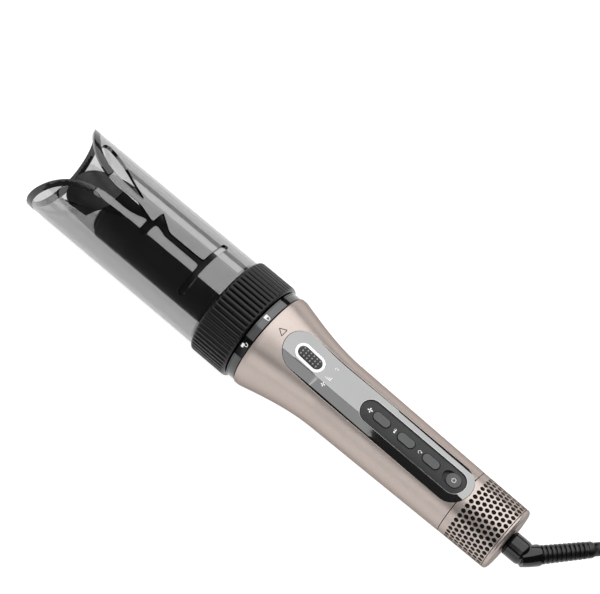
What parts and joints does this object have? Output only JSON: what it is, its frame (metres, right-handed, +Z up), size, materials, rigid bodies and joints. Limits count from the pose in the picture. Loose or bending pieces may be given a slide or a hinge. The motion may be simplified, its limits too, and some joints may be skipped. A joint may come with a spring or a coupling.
{
  "type": "automatic hair curler",
  "caption": "Hot-air styler handle with a detachable clear curling chamber whose motor-driven barrel winds hair, with a perforated intake cap and a swivel cord.",
  "frame": {"origin": "bottom centre of the wand's bounding box, measured without the cord: on the surface it lies on, under the grip ring's lowest rib height", "axes": "+X along the wand towards the cord, +Z up through the control panel, the chamber's open front towards -X"},
  "size_m": [0.5059, 0.0814, 0.0559],
  "materials": {
    "handle_lacquer": "satin champagne metallic lacquer on moulded plastic",
    "gloss_black": "polished black",
    "bezel_grey": "fine satin dark grey",
    "button_grey": "satin mid grey",
    "light_ring": "translucent white",
    "satin_black": "satin black",
    "smoked_clear": "clear smoked polymer, polished",
    "rim_smoke": "dark smoked edge",
    "barrel_black": "smooth black coating",
    "charcoal": "fine matt charcoal",
    "cord_rubber": "soft matt black",
    "steel": "plain steel",
    "mica": "flaky mica sheet",
    "heater_wire": "oxidised resistance wire",
    "board": "green solder mask",
    "moulded_white": "plain moulded",
    "capacitor": "blue case",
    "brass": "plain brass"
  },
  "bodies": {
    "handle": {"lower_shell": "handle_lacquer", "upper_shell": "handle_lacquer", "control_panel": "gloss_black", "button_bezel": "bezel_grey", "trigger_light_ring": "light_ring", "control_board": "board", "board_screw_1": "steel", "board_screw_2": "steel", "trigger_switch": "satin_black", "fan_switch": "satin_black", "heat_switch": "satin_black", "direction_switch": "satin_black", "power_switch": "satin_black", "status_light_guide": "moulded_white", "mains_capacitor": "capacitor", "blower_housing": "satin_black", "blower_motor": "steel", "motor_mount_front": "cord_rubber", "motor_mount_rear": "cord_rubber", "heater_sleeve": "mica", "heater_frame": "mica", "heater_winding": "heater_wire", "thermal_cutout": "steel", "front_collar": "satin_black", "contact_block": "moulded_white", "intake_frame": "satin_black", "inner_filter": "steel", "swivel_socket": "satin_black", "cord_hank": "cord_rubber", "cord_tie": "charcoal", "cord_lead": "cord_rubber", "cord_tail": "cord_rubber", "plug_body": "cord_rubber", "plug_pin_left": "brass", "plug_pin_right": "brass"},
    "bayonet": {"bayonet_ring": "steel"},
    "attachment": {"lock_band": "gloss_black", "grip_ring": "satin_black", "clear_chamber": "smoked_clear", "chamber_rim": "rim_smoke", "attachment_base": "satin_black", "contact_board": "board", "curl_motor": "steel", "barrel_bearing": "brass"},
    "barrel": {"barrel_shell": "barrel_black", "barrel_nose": "charcoal", "drive_hub": "satin_black", "drive_shaft": "steel"},
    "fan": {"impeller": "satin_black"},
    "trigger": {"trigger_button": "bezel_grey"},
    "fan_key": {"fan_button": "button_grey"},
    "heat_key": {"heat_button": "button_grey"},
    "direction_key": {"direction_button": "button_grey"},
    "power": {"power_slider": "button_grey"},
    "filter": {"filter_cap": "handle_lacquer"},
    "cord_swivel": {"swivel_knuckle": "cord_rubber", "strain_relief": "cord_rubber"}
  },
  "joints": [
    {"name": "attachment_twist", "type": "hinge", "parent": "handle", "child": "bayonet", "pos_m": [-0.0164, 0, 0.02795], "axis": [1, 0, 0], "range_deg": [0, 40]},
    {"name": "attachment_pull", "type": "slide", "parent": "bayonet", "child": "attachment", "axis": [-1, 0, 0], "range_m": [0, 0.05]},
    {"name": "barrel_spin", "type": "hinge", "parent": "attachment", "child": "barrel", "pos_m": [-0.0834, 0, 0.02795], "axis": [1, 0, 0], "continuous": true},
    {"name": "fan_spin", "type": "hinge", "parent": "handle", "child": "fan", "pos_m": [0.0746, 0, 0.02445], "axis": [1, 0, 0], "continuous": true},
    {"name": "trigger_press", "type": "slide", "parent": "handle", "child": "trigger", "axis": [0, 0, -1], "range_m": [0, 0.001], "stiffness_N_per_m": 500},
    {"name": "fan_press", "type": "slide", "parent": "handle", "child": "fan_key", "axis": [0, 0, -1], "range_m": [0, 0.0006], "stiffness_N_per_m": 600},
    {"name": "heat_press", "type": "slide", "parent": "handle", "child": "heat_key", "axis": [0, 0, -1], "range_m": [0, 0.0006], "stiffness_N_per_m": 600},
    {"name": "direction_press", "type": "slide", "parent": "handle", "child": "direction_key", "axis": [0, 0, -1], "range_m": [0, 0.0006], "stiffness_N_per_m": 600},
    {"name": "power_slide", "type": "slide", "parent": "handle", "child": "power", "axis": [-1, 0, 0], "range_m": [0, 0.0022]},
    {"name": "filter_pull", "type": "slide", "parent": "handle", "child": "filter", "axis": [1, 0, 0], "range_m": [0, 0.008]},
    {"name": "swivel_spin", "type": "hinge", "parent": "handle", "child": "cord_swivel", "pos_m": [0.1366, 0, 0.02795], "axis": [1, 0, 0], "continuous": true}
  ]
}
